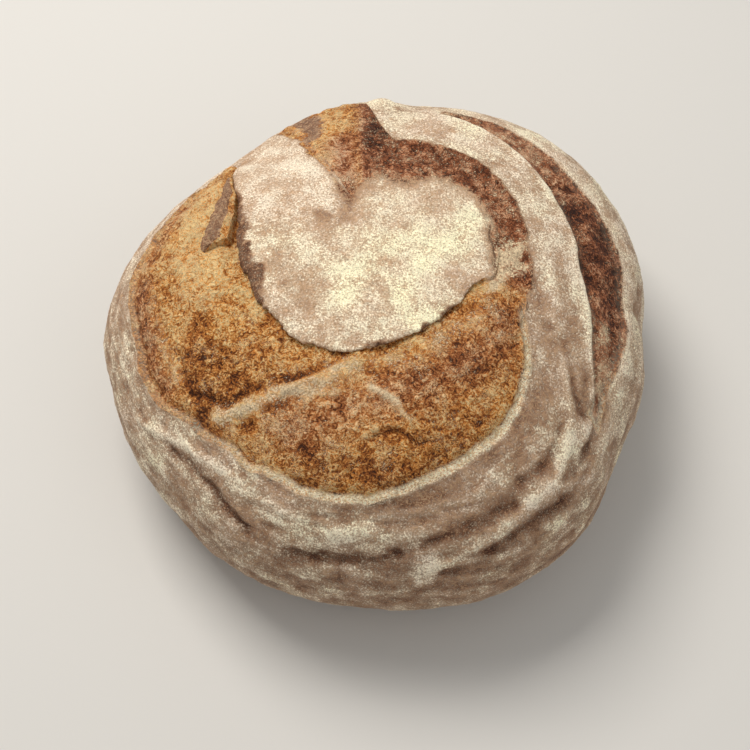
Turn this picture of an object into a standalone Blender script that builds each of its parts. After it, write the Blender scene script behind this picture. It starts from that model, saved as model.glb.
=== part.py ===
"""Italian country loaf: a round hearth loaf dusted with flour, whose lid burst open
along the front and the left while it baked. Metres, +Z up, the front towards -Y."""

import math

import bmesh
import bpy
import numpy as np

MM = 0.001

# Size of the whole loaf, in mm
HALF_WIDTH = 125.0
HALF_DEPTH = 129.0
HEIGHT = 118.0
WIDEST_AT = 44.0
SOLE_REACH = 56.0
ROUNDNESS = 2.25

# Bearings are degrees round the loaf: 0 is +X, 90 the back, 180 the left, 270 the front.
# Bulges and flats of the plan outline, as bearing, half width in degrees, mm outwards.
BULGES = (
    (0, 7, -2.5),
    (38, 28, 9.5),
    (80, 8, -3.0),
    (130, 28, -14.5),
    (180, 9, 2.5),
    (203, 25, -3.0),
    (222, 11, -2.5),
    (240, 20, -2.0),
    (268, 16, -2.0),
    (305, 26, 5.0),
    (331, 10, -4.0),
)

# A ring angle says how far down the skin a point is: 0 is the lid's centre, 90 the
# widest line. Each line on the skin is a list of (bearing, ring angle) or (bearing, mm).
LID_CENTRE = (-4.0, 17.0)
LID_EDGE = (
    (10, 25.6), (34, 22.0), (60, 18.0), (87, 20.0), (100, 26.0), (113, 40.0), (126, 49.0),
    (137, 50.0), (146, 40.0), (156, 32.0), (171, 27.8), (200, 26.7), (228, 27.4), (256, 27.6),
    (270, 26.2), (290, 23.8), (312, 23.1), (328, 24.4), (344, 26.7),
)  # fmt: skip
BURST_LIP = (
    (10, 32.3), (34, 29.4), (63, 27.8), (87, 30.0), (100, 42.0), (113, 54.0), (126, 58.0),
    (146, 54.0), (158, 54.5), (173, 58.0), (191, 60.2), (207, 62.4), (225, 61.3), (240, 58.6),
    (254, 56.5), (270, 57.0), (276, 55.6), (289, 51.6), (303, 47.4), (316, 43.6), (329, 38.1),
    (338, 35.6), (352, 34.0),
)  # fmt: skip

# The lid's free edge, in mm above the skin: it lies loose from FREE_FROM to FREE_TO
FREE_FROM = 131.0
FREE_TO = 340.0
FREE_FADE = 9.0
LID_TOP = ((137, 2.6), (190, 2.4), (225, 1.8), (260, 1.6), (300, 1.4), (340, 1.0))
LID_CRUST = ((137, 3.4), (200, 3.0), (240, 2.0), (300, 1.6), (340, 1.2))
LID_ROLL = ((137, 5.0), (215, 4.6), (240, 2.4), (300, 1.8), (340, 1.8))
LID_GAP = 2.0
UNDERCUT = 4.0

# The burst crust between the lid and the lip, in mm above the skin
BURST_START = ((20, 0.0), (110, 0.0), (137, -3.6), (200, -3.2), (250, -2.4), (300, -2.2), (340, -2.0))
BURST_SWELL = (
    (10, -2.2), (60, -2.2), (95, -0.8), (125, 0.0), (150, 1.0), (190, 1.6), (225, 1.2),
    (250, 2.2), (290, 2.6), (318, 2.0), (335, -0.6), (350, -2.0),
)  # fmt: skip
LIP_RISE = ((20, 0.5), (80, 0.4), (115, 0.0), (150, 0.6), (200, 1.2), (280, 1.3), (325, 1.0), (345, 0.5))
LIP_DIP = 1.4
LIP_FADE = 8.0

# Ridges and creases: a line of (bearing, ring angle), its half width and height in mm
FLOURED_RIDGE = ((228, 51.6), (233, 46.5), (239, 41.7), (248, 36.4), (257, 32.1), (266, 28.6))
RIDGE_VALLEY = ((219, 52.5), (228, 48.2), (234, 41.0), (245, 35.0), (256, 30.4))
SHORT_RIDGE = ((274, 31.5), (277, 35.9), (280, 39.0), (281, 41.5))
LEFT_CREASE = ((188, 50.0), (197, 49.2), (204, 49.1), (210, 49.3), (216, 51.5))
RIM_FOLDS = (
    (((310, 64.7), (302, 64.4), (295, 65.5), (289, 67.5), (282, 70.5)), 3.4, 1.1),
    (((307, 60.0), (300, 61.0), (290, 62.0)), 3.0, -0.9),
    (((308, 71.6), (294, 71.6), (284, 77.5)), 4.0, -1.0),
    (((217, 66.4), (224, 65.0), (232, 63.8), (241, 63.5)), 3.2, 1.0),
    (((216, 74.8), (227, 67.6), (237, 68.6), (247, 76.0)), 3.4, -0.9),
    (((337, 45.0), (328, 52.0), (320, 56.0), (308, 62.0)), 4.0, 0.9),
)
LINES = (
    (FLOURED_RIDGE, 3.6, 2.4),
    (RIDGE_VALLEY, 3.0, -1.3),
    (SHORT_RIDGE, 2.6, 1.2),
    (LEFT_CREASE, 3.0, -1.4),
) + RIM_FOLDS

# The second, narrow burst along the right: its two edges and its depth
CRESCENT_INNER = ((68, 46.0), (50, 44.6), (33, 45.3), (17, 47.6), (3, 49.8), (-9, 50.8), (-21, 54.6), (-30, 62.0))
CRESCENT_OUTER = ((68, 46.6), (57, 50.0), (44, 49.8), (30, 52.1), (20, 58.1), (9, 63.0), (-10, 67.4), (-30, 67.6))
CRESCENT_DEPTH = 2.0
CRESCENT_LIP = 1.0
CRESCENT_SPAN = (-27.0, 62.0)

# The pinched peak at the back and the torn notch that runs from it into the lid
PEAK_AT = (90, 47.0)
PEAK_RADIUS = 9.0
PEAK_RISE = 3.6
NOTCH = ((99, 27.0), (98, 20.0), (99, 13.0), (110, 5.5))
NOTCH_HALF_WIDTH = 6.0
NOTCH_DEPTH = 1.8
MM_PER_RING = 2.1

# The torn strip of crust under the lid's left corner, from top to tip: the foot of its
# dark outer face, its crest and the foot of its crumb face, as bearing, ring angle and mm.
SHARD = (
    ((142, 48.5, -2.0), (141, 46.0, 2.4), (141, 44.0, 2.4)),
    ((153, 41.5, -1.5), (152, 35.8, 3.8), (153, 33.8, 1.6)),
    ((161, 39.9, -1.0), (164, 32.6, 4.4), (164, 30.0, 1.6)),
    ((171, 38.2, -0.8), (176, 32.8, 4.0), (177, 29.0, 1.2)),
    ((180, 36.8, 0.2), (182, 35.2, 2.0), (179, 32.5, 1.2)),
)
SHARD_DEPTH = 9.0

# Mesh rows between those lines, from the lid's centre down to the centre of the base
BEARINGS = 88
LID_ROWS = 8
EDGE_ROWS = 3
UNDER_ROWS = 2
BURST_ROWS = 11
LIP_ROWS = 3
RIM_ROWS = 16
SOLE_ROWS = 6
BASE_ROWS = 2

CRUST_COLOUR = (0.52, 0.34, 0.19)
CRUST_ROUGHNESS = 0.85


def clear_scene():
    for old in list(bpy.data.objects):
        bpy.data.objects.remove(old, do_unlink=True)


def smooth(share):
    """Eases from 0 to 1 while share goes from 0 to 1."""
    share = np.clip(share, 0.0, 1.0)
    return share * share * (3.0 - 2.0 * share)


def turn_between(bearing, other):
    """The difference of two bearings, from -180 to 180 degrees."""
    return (bearing - other + 180.0) % 360.0 - 180.0


def line_at(points, bearing):
    """The value at a bearing of a closed line through (bearing, value) points."""
    around, values = np.array(sorted((b % 360, value) for b, value in points)).T
    softened = [np.interp(bearing + shift, around, values, period=360) for shift in (-4, -2, 0, 2, 4)]
    return np.mean(softened, axis=0)


def plan_radius(bearing):
    """The loaf's radius in plan, in mm, at its widest line."""
    across = HALF_DEPTH * np.cos(np.radians(bearing))
    along = HALF_WIDTH * np.sin(np.radians(bearing))
    radius = HALF_WIDTH * HALF_DEPTH / np.hypot(across, along)
    for centre, half_width, rise in BULGES:
        radius = radius + rise * np.exp(-((turn_between(bearing, centre) / half_width) ** 2))
    return radius


def sole_ring():
    """The ring angle where the side meets the flat base."""
    closed = (WIDEST_AT / SOLE_REACH) ** ROUNDNESS
    return 180.0 - math.degrees(math.asin((1.0 - closed) ** (1.0 / ROUNDNESS)))


def skin(ring, bearing):
    """The smooth outside of the loaf at a ring angle and a bearing, in mm."""
    down = np.radians(ring)
    around = np.radians(bearing)
    reach = plan_radius(bearing) * np.sin(down)
    drift = np.where(ring < 90, np.cos(down), 0.0) ** 2
    x = LID_CENTRE[0] * drift + reach * np.cos(around)
    y = LID_CENTRE[1] * drift + reach * np.sin(around)
    share = np.clip(np.hypot(x, y) / plan_radius(np.degrees(np.arctan2(y, x))), 0.0, 1.0)
    reach_up = np.where(ring < 90, HEIGHT - WIDEST_AT, -SOLE_REACH)
    z = WIDEST_AT + reach_up * (1.0 - share**ROUNDNESS) ** (1.0 / ROUNDNESS)
    return np.stack([x, y, z], axis=-1)


def outward(places):
    """The direction straight out of the skin at places on it."""
    x, y, z = np.moveaxis(places, -1, 0)
    radius = plan_radius(np.degrees(np.arctan2(y, x)))
    away = np.hypot(x, y)
    reach_up = np.where(z > WIDEST_AT, HEIGHT - WIDEST_AT, SOLE_REACH)
    rise = np.abs(z - WIDEST_AT) / reach_up
    level = (away / radius) ** (ROUNDNESS - 1.0) / radius
    steep = np.sign(z - WIDEST_AT) * rise ** (ROUNDNESS - 1.0) / reach_up
    away = np.maximum(away, 1e-6)
    normal = np.stack([level * x / away, level * y / away, steep], axis=-1)
    return normal / np.linalg.norm(normal, axis=-1, keepdims=True)


def on_map(bearing, ring):
    """A flat map of the skin, in mm, with the lid's centre in the middle."""
    around = np.radians(bearing)
    return MM_PER_RING * np.stack([ring * np.cos(around), ring * np.sin(around)], axis=-1)


def near_line(spots, points):
    """How far spots on the map are from a line of (bearing, ring angle) points, in mm."""
    corners = np.array([on_map(*point) for point in points])
    nearest = np.full(spots.shape[:-1], np.inf)
    for start, end in zip(corners[:-1], corners[1:]):
        reach = end - start
        share = np.clip(((spots - start) @ reach) / (reach @ reach), 0.0, 1.0)
        away = np.linalg.norm(spots - start - share[..., None] * reach, axis=-1)
        nearest = np.minimum(nearest, away)
    return nearest


def crescent_relief(ring, bearing):
    """The hollow of the right-hand burst, with the crust's torn edge raised beside it."""
    span = turn_between(bearing, 0.0)
    inner = line_at(CRESCENT_INNER, bearing)
    outer = line_at(CRESCENT_OUTER, bearing)
    here = smooth((span - CRESCENT_SPAN[0]) / 8.0) * smooth((CRESCENT_SPAN[1] - span) / 12.0)
    hollow = smooth((ring - inner + 0.6) / 1.6) * smooth((outer - ring + 1.4) / 4.0)
    lip = np.exp(-(((ring - inner + 1.6) / 1.7) ** 2))
    return here * (CRESCENT_LIP * lip - CRESCENT_DEPTH * hollow)


def relief(ring, bearing):
    """What ridges, folds, hollows and the peak add to the skin, in mm."""
    spots = on_map(bearing, ring)
    height = crescent_relief(ring, bearing)
    for points, half_width, rise in LINES:
        height = height + rise * np.exp(-((near_line(spots, points) / half_width) ** 2))
    height = height - NOTCH_DEPTH * np.exp(-((near_line(spots, NOTCH) / NOTCH_HALF_WIDTH) ** 2))
    peak = np.linalg.norm(spots - on_map(*PEAK_AT), axis=-1)
    return height + PEAK_RISE * np.exp(-((peak / PEAK_RADIUS) ** 2))


def freedom(bearing):
    """1 where the lid's edge is loose, 0 where the lid is still joined to the loaf."""
    around = bearing % 360.0
    return smooth((around - FREE_FROM) / FREE_FADE) * smooth((FREE_TO - around) / FREE_FADE)


def lid_rows(bearing, edge, free):
    """The lid's top: it swells towards its free edge and rolls over at the edge."""
    roll = line_at(LID_ROLL, bearing) / MM_PER_RING
    for row in range(1, LID_ROWS + 1):
        share = row / LID_ROWS
        ring = (edge - roll) * share**0.9
        yield ring, free * line_at(LID_TOP, bearing) * smooth(share * 1.3 - 0.3)


def edge_rows(bearing, edge, free):
    """Over the rounded edge and back under it to where the lid leaves the burst crust."""
    top = line_at(LID_TOP, bearing)
    crust = line_at(LID_CRUST, bearing)
    roll = line_at(LID_ROLL, bearing) / MM_PER_RING
    for row in range(1, EDGE_ROWS + 1):
        quarter = 0.5 * math.pi * row / EDGE_ROWS
        yield edge - roll * (1.0 - math.sin(quarter)), free * (top - crust * (1.0 - math.cos(quarter)))
    for row in range(1, UNDER_ROWS + 1):
        back = free * UNDERCUT / MM_PER_RING * row / UNDER_ROWS
        forth = (1.0 - free) * 0.35 * row
        yield edge + forth - back, free * (top - crust - 0.15 * row)


def burst_height(share, bearing):
    """The burst crust: it starts under the lid, swells, and dips just inside its lip."""
    start = line_at(BURST_START, bearing) * (1.0 - smooth(share / 0.35))
    swell = line_at(BURST_SWELL, bearing) * np.sin(math.pi * np.clip(share, 0.0, 1.0)) ** 1.3
    dip = LIP_DIP * (line_at(LIP_RISE, bearing) / 1.2) * np.exp(-(((share - 0.93) / 0.06) ** 2))
    return start + swell - dip


def burst_rows(bearing, edge, lip, free):
    """From under the lid out to the torn lip of the floured rim."""
    under = line_at(LID_TOP, bearing) - line_at(LID_CRUST, bearing) - LID_GAP
    back = free * UNDERCUT / MM_PER_RING
    forth = (1.0 - free) * 0.35 * (UNDER_ROWS + 1)
    for row in range(BURST_ROWS):
        share = (row / BURST_ROWS) ** 1.05
        ring = (edge + forth - back) * (1.0 - share) + (lip - 0.8) * share
        out = (ring - edge) / (lip - edge)
        tuck = free * (1.0 - smooth(row / 2.0))
        yield ring, burst_height(out, bearing) * (1.0 - tuck) + under * tuck


def rim_rows(bearing, lip):
    """The lip itself and the floured rim, down to the widest line."""
    rise = line_at(LIP_RISE, bearing)
    for row in range(LIP_ROWS):
        yield lip + (row - 0.5) * 0.9, rise * (1.0 if row < 2 else 0.7)
    start = lip + (LIP_ROWS - 0.5) * 0.9
    for row in range(1, RIM_ROWS + 1):
        ring = start + (90.0 - start) * row / RIM_ROWS
        yield ring, rise * 0.6 * np.exp(-(ring - start) * MM_PER_RING / LIP_FADE)


def side_rows(bearing):
    """The side below the widest line, down to the edge of the flat base."""
    last = sole_ring()
    for row in range(1, SOLE_ROWS + 1):
        yield 90.0 + (last - 90.0) * row / SOLE_ROWS + 0.0 * bearing, 0.0 * bearing


def loaf_rows(bearing):
    """All rows of the crust, each as its places at these bearings, in mm."""
    edge = line_at(LID_EDGE, bearing)
    lip = line_at(BURST_LIP, bearing)
    free = freedom(bearing)
    rows = list(lid_rows(bearing, edge, free)) + list(edge_rows(bearing, edge, free))
    rows += list(burst_rows(bearing, edge, lip, free)) + list(rim_rows(bearing, lip))
    rows += list(side_rows(bearing))
    places = []
    for ring, height in rows:
        base = skin(ring, bearing)
        fade = np.where(ring < 90.0, 1.0, np.clip(1.0 - (ring - 90.0) / 20.0, 0.0, 1.0))
        places.append(base + outward(base) * (height + fade * relief(ring, bearing))[..., None])
    for row in range(1, BASE_ROWS):
        places.append(places[-1] * np.array([1.0, 1.0, 0.0]) * (1.0 - row / BASE_ROWS))
    return places


def spun_sheet(rows):
    """A tube of quads round the axis, closed at both ends, whose height counts the rows."""
    mesh = bmesh.new()
    line = [mesh.verts.new((0.0, 0.0, 0.0))]
    line += [mesh.verts.new((1.0, 0.0, row)) for row in range(1, rows + 1)]
    line.append(mesh.verts.new((0.0, 0.0, rows + 1.0)))
    edges = [mesh.edges.new(pair) for pair in zip(line[:-1], line[1:])]
    bmesh.ops.spin(
        mesh,
        geom=line + edges,
        cent=(0.0, 0.0, 0.0),
        axis=(0.0, 0.0, 1.0),
        angle=2.0 * math.pi,
        steps=BEARINGS,
        use_merge=True,
    )
    bmesh.ops.remove_doubles(mesh, verts=mesh.verts, dist=0.01)
    return mesh


def crust_material():
    material = bpy.data.materials.new("crust")
    material.use_nodes = True
    shader = material.node_tree.nodes["Principled BSDF"]
    shader.inputs["Base Color"].default_value = (*CRUST_COLOUR, 1.0)
    shader.inputs["Roughness"].default_value = CRUST_ROUGHNESS
    shader.inputs["Metallic"].default_value = 0.0
    return material


def make_object(name, mesh, material):
    bmesh.ops.recalc_face_normals(mesh, faces=mesh.faces)
    data = bpy.data.meshes.new(name)
    mesh.to_mesh(data)
    mesh.free()
    data.shade_smooth()
    data.materials.append(material)
    piece = bpy.data.objects.new(name, data)
    bpy.context.scene.collection.objects.link(piece)
    return piece


def loaf(material):
    """The crust: the spun tube with each ring of points moved to its row of places."""
    bearing = np.arange(BEARINGS) * 360.0 / BEARINGS
    places = loaf_rows(bearing)
    mesh = spun_sheet(len(places))
    for point in mesh.verts:
        row = round(point.co.z)
        if row == 0:
            point.co = [MM * value for value in skin(np.array(0.0), np.array(0.0))]
        elif row > len(places):
            point.co = (0.0, 0.0, 0.0)
        else:
            step = round(math.degrees(math.atan2(point.co.y, point.co.x)) * BEARINGS / 360.0)
            point.co = [MM * value for value in places[row - 1][step % BEARINGS]]
    return make_object("loaf", mesh, material)


def shard(material):
    """The torn strip, a closed bar of five-sided sections whose back is inside the loaf."""
    mesh = bmesh.new()
    sections = []
    for corners in SHARD:
        bearing, ring, height = np.array(corners, float).T
        base = skin(ring, bearing)
        out = outward(base)
        foot, crest, face = base + out * height[:, None]
        inside = SHARD_DEPTH * out[1]
        outline = (foot, crest, face, face - inside, foot - inside)
        sections.append([mesh.verts.new(MM * place) for place in outline])
    for upper, lower in zip(sections[:-1], sections[1:]):
        for side in range(5):
            other = (side + 1) % 5
            mesh.faces.new((upper[side], upper[other], lower[other], lower[side]))
    mesh.faces.new(sections[0])
    mesh.faces.new(reversed(sections[-1]))
    bmesh.ops.triangulate(mesh, faces=mesh.faces)
    piece = make_object("shard", mesh, material)
    piece.hide_render = True
    piece.display_type = "WIRE"
    return piece


def main():
    clear_scene()
    material = crust_material()
    whole = loaf(material)
    fused = whole.modifiers.new("torn strip", "BOOLEAN")
    fused.operation = "UNION"
    fused.object = shard(material)


main()
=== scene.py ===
# %% [markdown]
# # An Italian country loaf
# This is a round hearth loaf of about one kilo. It rose in a floured basket, was tipped
# out onto a hot oven floor, and burst as it baked: the top came loose as a lid, and the
# dough under it swelled out as a wide golden crescent round the front and the left.
# A second, narrow burst runs down the right.
#
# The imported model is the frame. Its one solid gives the size and the place of everything,
# and a finer skin made here stands for it.

import itertools
import math

import bmesh
import bpy
import numpy as np
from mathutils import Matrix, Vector


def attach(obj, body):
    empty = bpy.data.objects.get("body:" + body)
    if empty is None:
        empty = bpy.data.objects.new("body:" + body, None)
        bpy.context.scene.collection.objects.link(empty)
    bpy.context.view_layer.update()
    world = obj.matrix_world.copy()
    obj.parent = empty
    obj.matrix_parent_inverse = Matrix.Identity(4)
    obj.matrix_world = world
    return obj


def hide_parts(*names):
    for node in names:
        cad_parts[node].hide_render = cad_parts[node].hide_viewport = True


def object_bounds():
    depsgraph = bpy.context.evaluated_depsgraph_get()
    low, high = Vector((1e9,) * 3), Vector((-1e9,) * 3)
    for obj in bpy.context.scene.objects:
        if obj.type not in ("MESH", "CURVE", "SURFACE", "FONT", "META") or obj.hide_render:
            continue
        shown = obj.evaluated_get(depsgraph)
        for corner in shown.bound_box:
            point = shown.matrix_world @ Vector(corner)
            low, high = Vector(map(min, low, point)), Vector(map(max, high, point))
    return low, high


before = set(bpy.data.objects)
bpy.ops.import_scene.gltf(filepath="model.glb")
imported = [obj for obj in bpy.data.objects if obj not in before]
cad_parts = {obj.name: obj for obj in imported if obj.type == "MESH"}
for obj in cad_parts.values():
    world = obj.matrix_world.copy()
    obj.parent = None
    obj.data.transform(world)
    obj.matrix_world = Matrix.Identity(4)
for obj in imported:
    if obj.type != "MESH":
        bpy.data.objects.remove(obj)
cad_box = [list(corner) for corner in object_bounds()]
MM = 0.001
print("the solid is", [round((high - low) / MM, 1) for low, high in zip(*cad_box)], "mm")

# %% [markdown]
# ## A way to name places on a loaf
# Nothing on a loaf is straight, so x and y are poor names for its places. A baker turns
# the loaf and looks how far down its side something is, and that makes two angles.
# The bearing goes round: 0 is the right, 90 the back, 180 the left and 270 the front.
# The ring angle goes down: 0 is the middle of the lid and 90 the widest line.
# A burst's edge is then a short list of (bearing, ring angle) points, and a soft average
# over a few degrees rounds its corners.

# %% Lines on the skin
def smooth(share):
    """Eases from 0 to 1 while share goes from 0 to 1."""
    share = np.clip(share, 0.0, 1.0)
    return share * share * (3.0 - 2.0 * share)


def turn_between(bearing, other):
    """The difference of two bearings, from -180 to 180 degrees."""
    return (bearing - other + 180.0) % 360.0 - 180.0


def line_at(points, bearing, soft=4.0):
    """The value at a bearing of a closed line through (bearing, value) points."""
    around, values = np.array(sorted((b % 360, value) for b, value in points)).T
    shifts = (-soft, -0.5 * soft, 0.0, 0.5 * soft, soft)
    found = [np.interp(bearing + shift, around, values, period=360) for shift in shifts]
    return np.mean(found, axis=0)


LID_EDGE = (
    (10, 25.6), (34, 22.0), (60, 18.0), (87, 20.0), (100, 26.0), (113, 40.0), (126, 49.0),
    (137, 50.0), (146, 40.0), (156, 32.0), (171, 27.8), (200, 26.7), (228, 27.4), (256, 27.6),
    (270, 26.2), (290, 23.8), (312, 23.1), (328, 24.4), (344, 26.7),
)  # fmt: skip
BURST_LIP = (
    (10, 32.3), (34, 29.4), (63, 27.8), (79, 27.6), (86, 33.5), (90, 43.0), (93, 54.0), (102, 58.0),
    (113, 58.0), (126, 58.0),
    (146, 54.0), (158, 54.5), (173, 58.0), (191, 60.2), (205, 62.0), (214, 61.6), (220, 58.5),
    (227, 57.6), (232, 56.0), (236, 54.6), (240, 57.6), (245, 56.0), (250, 56.2), (255, 58.6),
    (265, 57.4), (270, 57.2), (274, 55.4), (285, 52.8), (295, 50.1), (305, 48.2), (314, 44.6),
    (324, 41.5), (331, 37.5), (338, 35.6), (352, 34.0),
)  # fmt: skip
print("lid edge at the front:", round(float(line_at(LID_EDGE, 270.0)), 1), "degrees down")

# %% [markdown]
# ### Soft noise
# Nothing on a crust is even, so every line and surface gets a share of noise. Gradient
# noise gives each corner of a cubic grid a random slope and blends the slopes between,
# so it is smooth, has no seam, and is the same at each run because its tables are seeded.
# Blender has the same noise as a function for one point; this form does all points at once.

# %% Noise for many points at once
GRADIENTS = np.random.default_rng(5).normal(size=(4096, 3))
SHUFFLE = np.random.default_rng(6).permutation(4096)


def soft_noise(at):
    """Gradient noise at points in space, with one lump a unit, from about -1 to 1."""
    cell = np.floor(at).astype(int)
    within = at - cell
    ease = within**3 * (within * (within * 6.0 - 15.0) + 10.0)
    total = 0.0
    for corner in itertools.product((0, 1), repeat=3):
        mix = SHUFFLE[(cell[..., 0] + corner[0]) % 4096]
        mix = SHUFFLE[(mix + cell[..., 1] + corner[1]) % 4096]
        mix = SHUFFLE[(mix + cell[..., 2] + corner[2]) % 4096]
        slope = np.sum(GRADIENTS[mix] * (within - corner), axis=-1)
        total = total + slope * np.prod(np.where(corner, ease, 1.0 - ease), axis=-1)
    return total


def layered(at, octaves, ridged=False):
    """Noise with finer and finer layers; ridged noise has sharp crests, like a tear."""
    total = 0.0
    for octave in range(octaves):
        wave = soft_noise(at * 2.1**octave + 17.0 * octave)
        total = total + (0.7 - 1.8 * np.abs(wave) if ridged else wave) * 0.5**octave
    return total


print("noise at one place:", round(float(soft_noise(np.array([0.3, 0.6, 0.2]))), 3))

# %% [markdown]
# ## The smooth body
# A hearth loaf spreads under its own weight, so it is a flattened ball with a fuller
# shoulder than an ellipse has, which is what an exponent above 2 gives. Its plan is an
# ellipse with bulges where a burst pushed out and flats where the skin held.
# Below the widest line the same curve runs on and is cut off flat by the oven floor.

# %% The body's sizes, in mm
HALF_WIDTH = 125.0
HALF_DEPTH = 129.0
HEIGHT = 118.0
WIDEST_AT = 44.0
SOLE_REACH = 56.0
ROUNDNESS = 2.25
LID_CENTRE = (-4.0, 17.0)
BULGES = (
    (0, 7, -2.5),
    (38, 28, 9.5),
    (80, 8, -3.0),
    (130, 28, -14.5),
    (180, 9, 2.5),
    (203, 25, -3.0),
    (222, 11, -2.5),
    (240, 20, -2.0),
    (268, 16, -2.0),
    (305, 26, 5.0),
    (331, 10, -4.0),
)


def plan_radius(bearing):
    """The loaf's radius in plan at its widest line; a bulge is bearing, half width, mm."""
    across = HALF_DEPTH * np.cos(np.radians(bearing))
    along = HALF_WIDTH * np.sin(np.radians(bearing))
    radius = HALF_WIDTH * HALF_DEPTH / np.hypot(across, along)
    for centre, half_width, rise in BULGES:
        radius = radius + rise * np.exp(-((turn_between(bearing, centre) / half_width) ** 2))
    return radius


def skin(ring, bearing):
    """The smooth outside of the loaf at a ring angle and a bearing, in mm."""
    down = np.radians(ring)
    around = np.radians(bearing)
    reach = plan_radius(bearing) * np.sin(down)
    drift = np.where(ring < 90, np.cos(down), 0.0) ** 2
    x = LID_CENTRE[0] * drift + reach * np.cos(around)
    y = LID_CENTRE[1] * drift + reach * np.sin(around)
    share = np.clip(np.hypot(x, y) / plan_radius(np.degrees(np.arctan2(y, x))), 0.0, 1.0)
    reach_up = np.where(ring < 90, HEIGHT - WIDEST_AT, -SOLE_REACH)
    z = WIDEST_AT + reach_up * (1.0 - share**ROUNDNESS) ** (1.0 / ROUNDNESS)
    return np.stack([x, y, z], axis=-1)


def outward(places):
    """The direction straight out of the skin at places on it."""
    x, y, z = np.moveaxis(places, -1, 0)
    radius = plan_radius(np.degrees(np.arctan2(y, x)))
    away = np.hypot(x, y)
    reach_up = np.where(z > WIDEST_AT, HEIGHT - WIDEST_AT, SOLE_REACH)
    rise = np.abs(z - WIDEST_AT) / reach_up
    level = (away / radius) ** (ROUNDNESS - 1.0) / radius
    steep = np.sign(z - WIDEST_AT) * rise ** (ROUNDNESS - 1.0) / reach_up
    away = np.maximum(away, 1e-6)
    normal = np.stack([level * x / away, level * y / away, steep], axis=-1)
    return normal / np.linalg.norm(normal, axis=-1, keepdims=True)


closed_share = (WIDEST_AT / SOLE_REACH) ** ROUNDNESS
SOLE_RING = 180.0 - math.degrees(math.asin((1.0 - closed_share) ** (1.0 / ROUNDNESS)))
print("the side meets the flat base at ring angle", round(SOLE_RING, 1))

# %% [markdown]
# ## Rows from the lid to the base
# The skin is a net of rows and bearings. Even rows would waste points, so the rows are
# dealt out by what they have to show: close together where the lid's crust turns under
# itself, and along the torn lips, and further apart on the plain sides.
# The bearings are closer together at the front too, where the burst is.
# Where the lid is loose, its rows go out over its rounded edge, back underneath it and
# out again along the burst crust, so the lid has a true edge with a dark gap below it.
# Where the lid is still joined to the loaf, the same rows just lie side by side.

# %% Bearings, closer together at the front
BEARINGS = 512
FRONT_FROM = 178.0
FRONT_TO = 352.0
FRONT_CROWD = 2.1
degrees = np.linspace(0.0, 360.0, 3601)
crowd = smooth((degrees - FRONT_FROM) / 12.0) * smooth((FRONT_TO - degrees) / 12.0)
reached = np.concatenate([[0.0], np.cumsum(1.0 + (FRONT_CROWD - 1.0) * crowd[1:])])
bearing = np.interp(np.arange(BEARINGS) * reached[-1] / BEARINGS, reached, degrees)
print("bearings at the front are", round(float(np.diff(bearing).min()), 2), "degrees apart")


# %% The lines that the rows follow
def waver(count, seed):
    """A soft random wave round the loaf with about so many lumps, from -1 to 1."""
    reach = count / (2.0 * math.pi)
    turns = np.radians(bearing)
    on_circle = [reach * np.cos(turns), reach * np.sin(turns), 0.0 * turns + seed]
    return soft_noise(np.stack(on_circle, -1))


FREE_FROM = 131.0
FREE_TO = 340.0
FREE_FADE = 9.0
SHOULDER = (
    (80, 46.0), (87, 50.0), (92, 60.0), (103, 63.0), (113, 62.0), (146, 62.0), (173, 66.0),
    (207, 70.0), (240, 66.0), (270, 64.0), (290, 60.0), (303, 57.0), (316, 56.0), (325, 60.0),
    (330, 66.0), (333, 60.0), (337, 56.0), (345, 51.8), (354, 49.5), (2, 47.8), (10, 45.8),
    (18, 43.8), (25, 42.4), (33, 41.8), (44, 41.4), (56, 43.0), (68, 44.8),
)  # fmt: skip
around_free = smooth((bearing - FREE_FROM) / FREE_FADE) * smooth((FREE_TO - bearing) / FREE_FADE)
jagged = 0.5 + 0.5 * smooth((bearing - 120.0) / 20.0) * smooth((250.0 - bearing) / 20.0)
edge_wave = 0.6 * waver(30, 1.3) + 0.42 * waver(90, 4.7) + 0.3 * waver(220, 9.1)
lid_edge = line_at(LID_EDGE, bearing) + jagged * edge_wave
burst_lip = line_at(BURST_LIP, bearing, 2.0) + 0.5 * waver(24, 2.6)
burst_lip = burst_lip + 0.42 * waver(80, 6.2) + 0.3 * waver(200, 3.9)
shoulder = line_at(SHOULDER, bearing) + 0.3 * waver(30, 5.5) + 0.22 * waver(90, 7.5)
print("the lid is loose along", round(float(FREE_TO - FREE_FROM)), "degrees")

# %% How the lid and the burst crust lie, in mm above the skin
LID_TOP = ((137, 2.6), (190, 2.2), (225, 1.4), (260, 1.0), (300, 0.8), (340, 0.7))
LID_CRUST = ((137, 3.4), (200, 2.8), (240, 1.5), (300, 1.2), (340, 1.0))
LID_ROLL = ((137, 5.0), (205, 4.0), (235, 1.6), (300, 1.1), (340, 1.2))
LID_GAP = 0.9
UNDERCUT = 4.0
MM_PER_RING = 2.1
BURST_START = (
    (20, 0.0), (110, 0.0), (137, -3.6), (200, -3.2), (250, -2.2), (300, -1.9), (340, -1.8),
)  # fmt: skip
BURST_SWELL = (
    (10, -2.2), (60, -2.2), (95, -0.8), (125, 0.0), (150, 1.0), (190, 1.6), (225, 1.2),
    (250, 2.2), (290, 2.6), (318, 2.0), (335, -0.6), (350, -2.0),
)  # fmt: skip
LIP_RISE = (
    (20, 0.5), (80, 0.4), (115, 0.0), (150, 0.6), (200, 1.2), (280, 1.3), (325, 1.0), (345, 0.5),
)  # fmt: skip
LIP_DIP = 1.4
LIP_FADE = 8.0
top = line_at(LID_TOP, bearing) + 0.35 * waver(40, 8.8) * around_free * jagged
crust = line_at(LID_CRUST, bearing) * (1.0 + 0.25 * waver(34, 2.2))
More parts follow.
